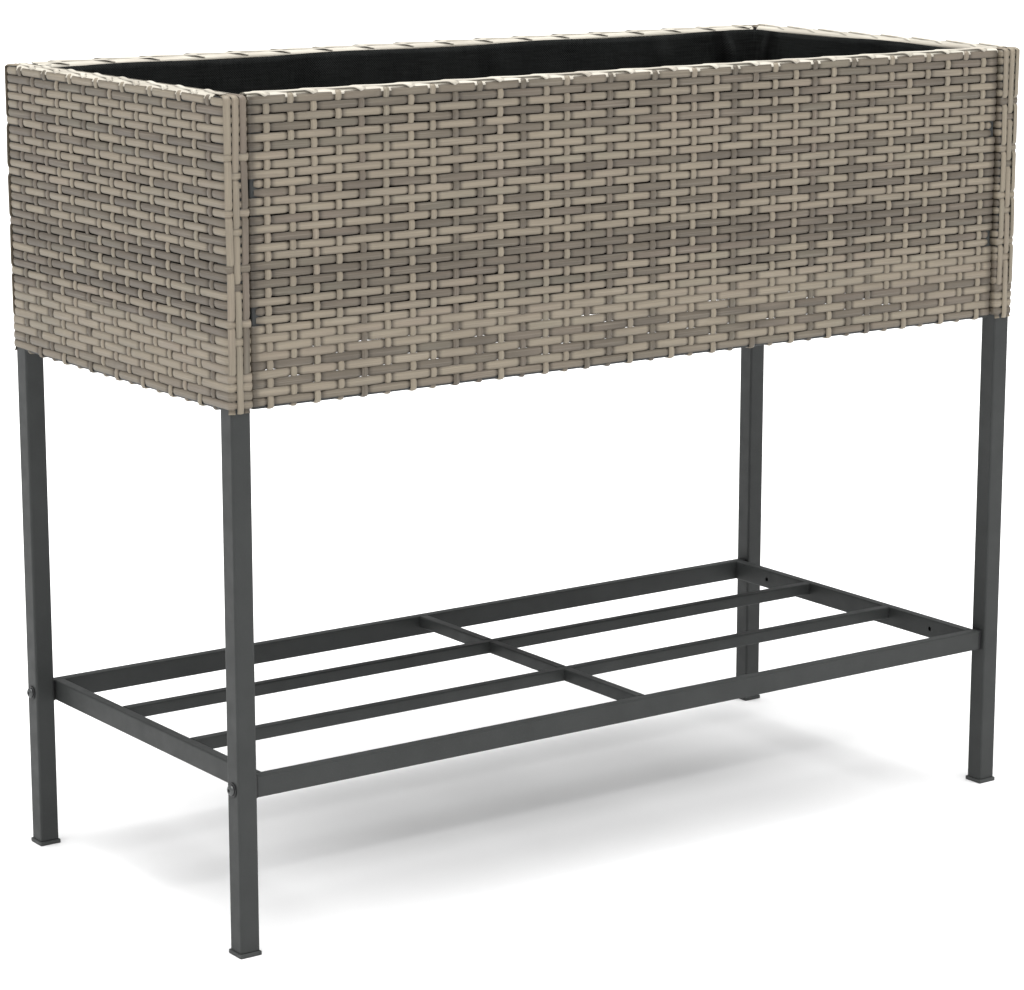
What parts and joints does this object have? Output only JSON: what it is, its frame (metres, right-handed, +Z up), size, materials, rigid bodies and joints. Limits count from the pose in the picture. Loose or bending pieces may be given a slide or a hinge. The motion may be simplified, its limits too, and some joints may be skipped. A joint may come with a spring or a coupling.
{
  "type": "raised planter on legs",
  "caption": "Woven rattan planter box on square steel legs, with a fabric liner inside and an open steel shelf below.",
  "frame": {"origin": "on the ground at the middle of the four feet, under the centre of the planter box", "axes": "+X along the planter's length, towards its right end; +Y towards its rear; +Z up"},
  "size_m": [0.904, 0.4, 0.75],
  "materials": {
    "steel": "anthracite powder coat, satin",
    "plastic": "moulded black",
    "fastener": "dark zinc plate",
    "rattan": "grooved synthetic rattan strand, mixed beige and grey-brown",
    "liner": "woven black synthetic cloth"
  },
  "bodies": {
    "root": {"leg_front_left": "steel", "leg_front_right": "steel", "leg_rear_left": "steel", "leg_rear_right": "steel", "foot_cap_front_left": "plastic", "foot_cap_front_right": "plastic", "foot_cap_rear_left": "plastic", "foot_cap_rear_right": "plastic", "end_rail_top_left": "steel", "end_rail_top_right": "steel", "end_rail_bottom_left": "steel", "end_rail_bottom_right": "steel", "floor_bearer_left": "steel", "floor_bearer_right": "steel", "floor_bar_1": "steel", "floor_bar_2": "steel", "floor_bar_3": "steel", "floor_bar_4": "steel", "front_panel_rail_top": "steel", "front_panel_rail_bottom": "steel", "front_panel_upright_left": "steel", "front_panel_upright_right": "steel", "rear_panel_rail_top": "steel", "rear_panel_rail_bottom": "steel", "rear_panel_upright_left": "steel", "rear_panel_upright_right": "steel", "panel_bolt_front_left_lower": "fastener", "panel_bolt_front_left_upper": "fastener", "panel_bolt_front_right_lower": "fastener", "panel_bolt_front_right_upper": "fastener", "panel_bolt_rear_left_lower": "fastener", "panel_bolt_rear_left_upper": "fastener", "panel_bolt_rear_right_lower": "fastener", "panel_bolt_rear_right_upper": "fastener", "rattan_end_left": "rattan", "rattan_end_right": "rattan", "rattan_panel_front": "rattan", "rattan_panel_rear": "rattan", "fabric_liner": "liner", "shelf_rail_front": "steel", "shelf_rail_rear": "steel", "shelf_rail_left": "steel", "shelf_rail_right": "steel", "shelf_inner_rail_front": "steel", "shelf_inner_rail_rear": "steel", "shelf_cross_bar_front": "steel", "shelf_cross_bar_middle": "steel", "shelf_cross_bar_rear": "steel", "shelf_end_plug_front_left": "plastic", "shelf_end_plug_front_right": "plastic", "shelf_end_plug_rear_left": "plastic", "shelf_end_plug_rear_right": "plastic", "shelf_washer_front_left": "plastic", "shelf_washer_front_right": "plastic", "shelf_washer_rear_left": "plastic", "shelf_washer_rear_right": "plastic", "shelf_bolt_front_left": "fastener", "shelf_bolt_front_right": "fastener", "shelf_bolt_rear_left": "fastener", "shelf_bolt_rear_right": "fastener"}
  },
  "joints": []
}
